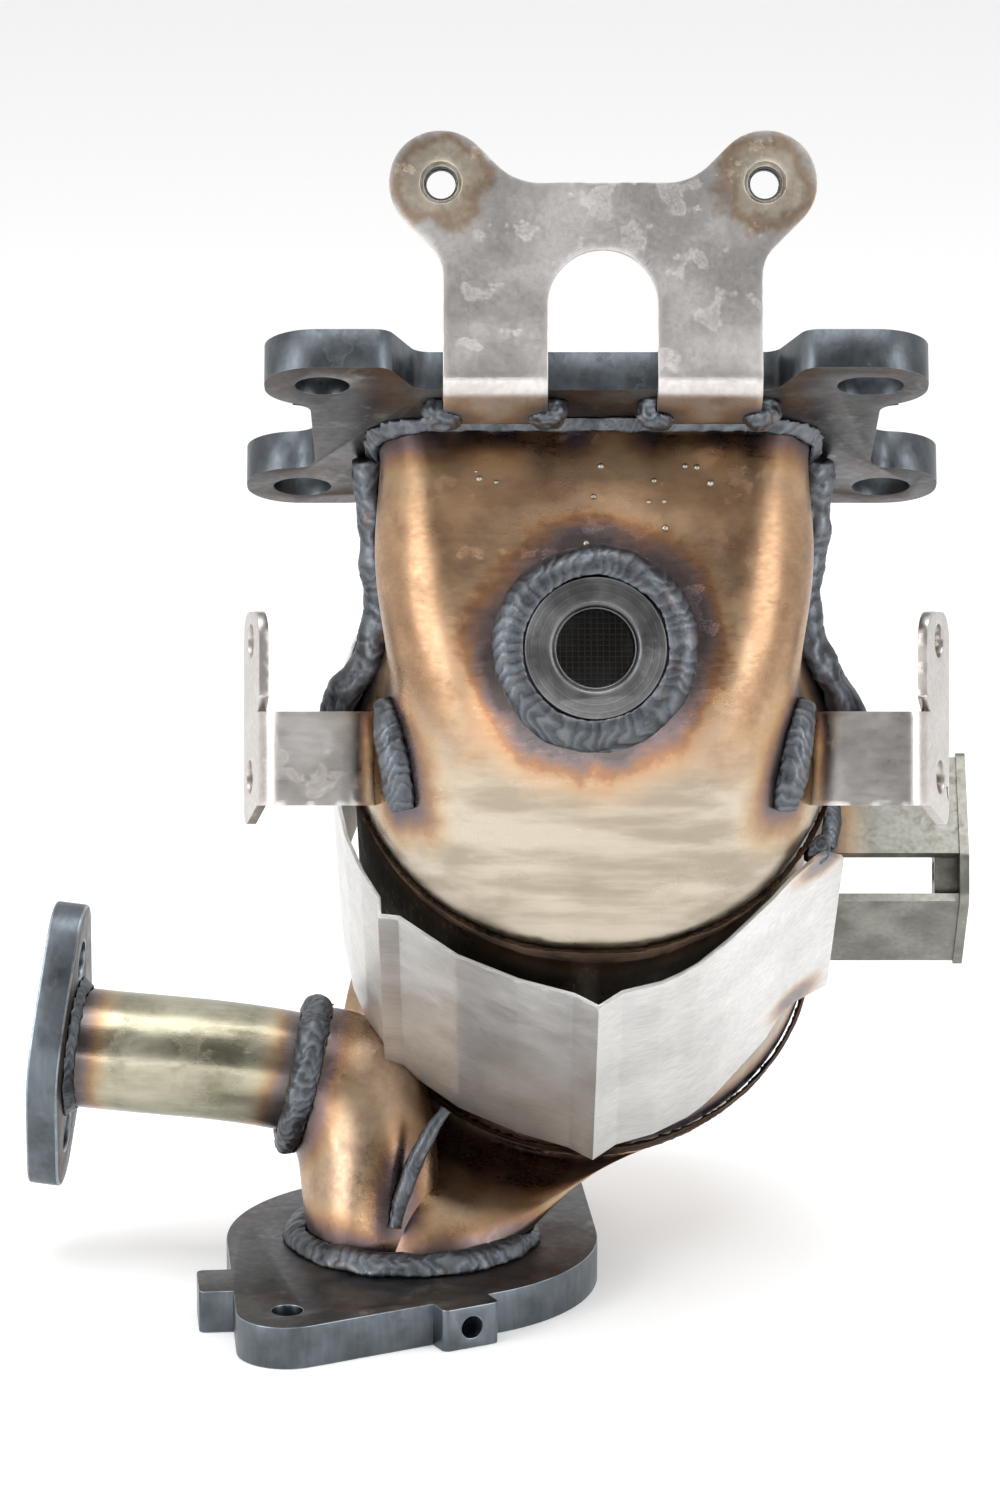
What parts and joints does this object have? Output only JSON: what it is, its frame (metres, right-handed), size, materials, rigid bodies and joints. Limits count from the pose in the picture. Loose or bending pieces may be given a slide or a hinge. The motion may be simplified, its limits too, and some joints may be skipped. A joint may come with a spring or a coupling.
{
  "type": "catalytic converter",
  "caption": "Close-coupled catalytic converter with stamped inlet dome, eared inlet flange, ribbed heat shield, side pipe, sensor bung, outlet flange and sheet brackets.",
  "frame": {"origin": "centre of the outlet bore on the outlet flange's lower face", "axes": "+Z from the outlet flange's gasket face up into the converter; +X from the side pipe towards the stay bracket; the sensor bung faces -Y"},
  "size_m": [0.2052, 0.1807, 0.2679],
  "materials": {
    "shell_steel": "heat-tinted stainless steel, bronze and gold to purple",
    "can_steel": "stainless steel, dulled by heat",
    "outlet_steel": "heat-tinted stainless steel",
    "pipe_steel": "stainless tube, olive and silver streaks",
    "flange_steel": "dark mill-finish steel plate",
    "bung_steel": "turned steel",
    "weld_steel": "blue-grey weld metal",
    "shield_steel": "bright stainless sheet",
    "bracket_steel": "pale stainless sheet with heat stains",
    "stay_zinc": "dull plated steel",
    "nut_zinc": "plated steel",
    "brick_ceramic": "porous ceramic",
    "mat_fibre": "fibre mat"
  },
  "bodies": {
    "root": {"front_shell": "shell_steel", "back_shell": "shell_steel", "can_shell": "can_steel", "outlet_shell": "outlet_steel", "side_pipe": "pipe_steel", "inlet_flange": "flange_steel", "outlet_flange": "flange_steel", "side_flange": "flange_steel", "sensor_bung": "bung_steel", "can_top_weld": "weld_steel", "can_bottom_weld": "weld_steel", "left_seam_weld": "weld_steel", "right_seam_weld": "weld_steel", "inlet_flange_weld": "weld_steel", "sensor_bung_weld": "weld_steel", "outlet_flange_weld": "weld_steel", "side_pipe_weld": "weld_steel", "side_flange_weld": "weld_steel", "outlet_seam_weld": "weld_steel", "left_ear_weld": "weld_steel", "right_ear_weld": "weld_steel", "stay_weld": "weld_steel", "bracket_tack_1": "weld_steel", "bracket_tack_2": "weld_steel", "bracket_tack_3": "weld_steel", "bracket_tack_4": "weld_steel", "shield_tack_upper": "weld_steel", "shield_tack_lower": "weld_steel", "shield_tack_back_upper": "weld_steel", "shield_tack_back_lower": "weld_steel", "heat_shield": "shield_steel", "top_bracket": "bracket_steel", "left_ear_bracket": "bracket_steel", "right_ear_bracket": "bracket_steel", "stay_bracket": "stay_zinc", "stay_nut": "stay_zinc", "weld_nut_left": "nut_zinc", "weld_nut_right": "nut_zinc", "catalyst_brick": "brick_ceramic", "support_mat": "mat_fibre"}
  },
  "joints": []
}
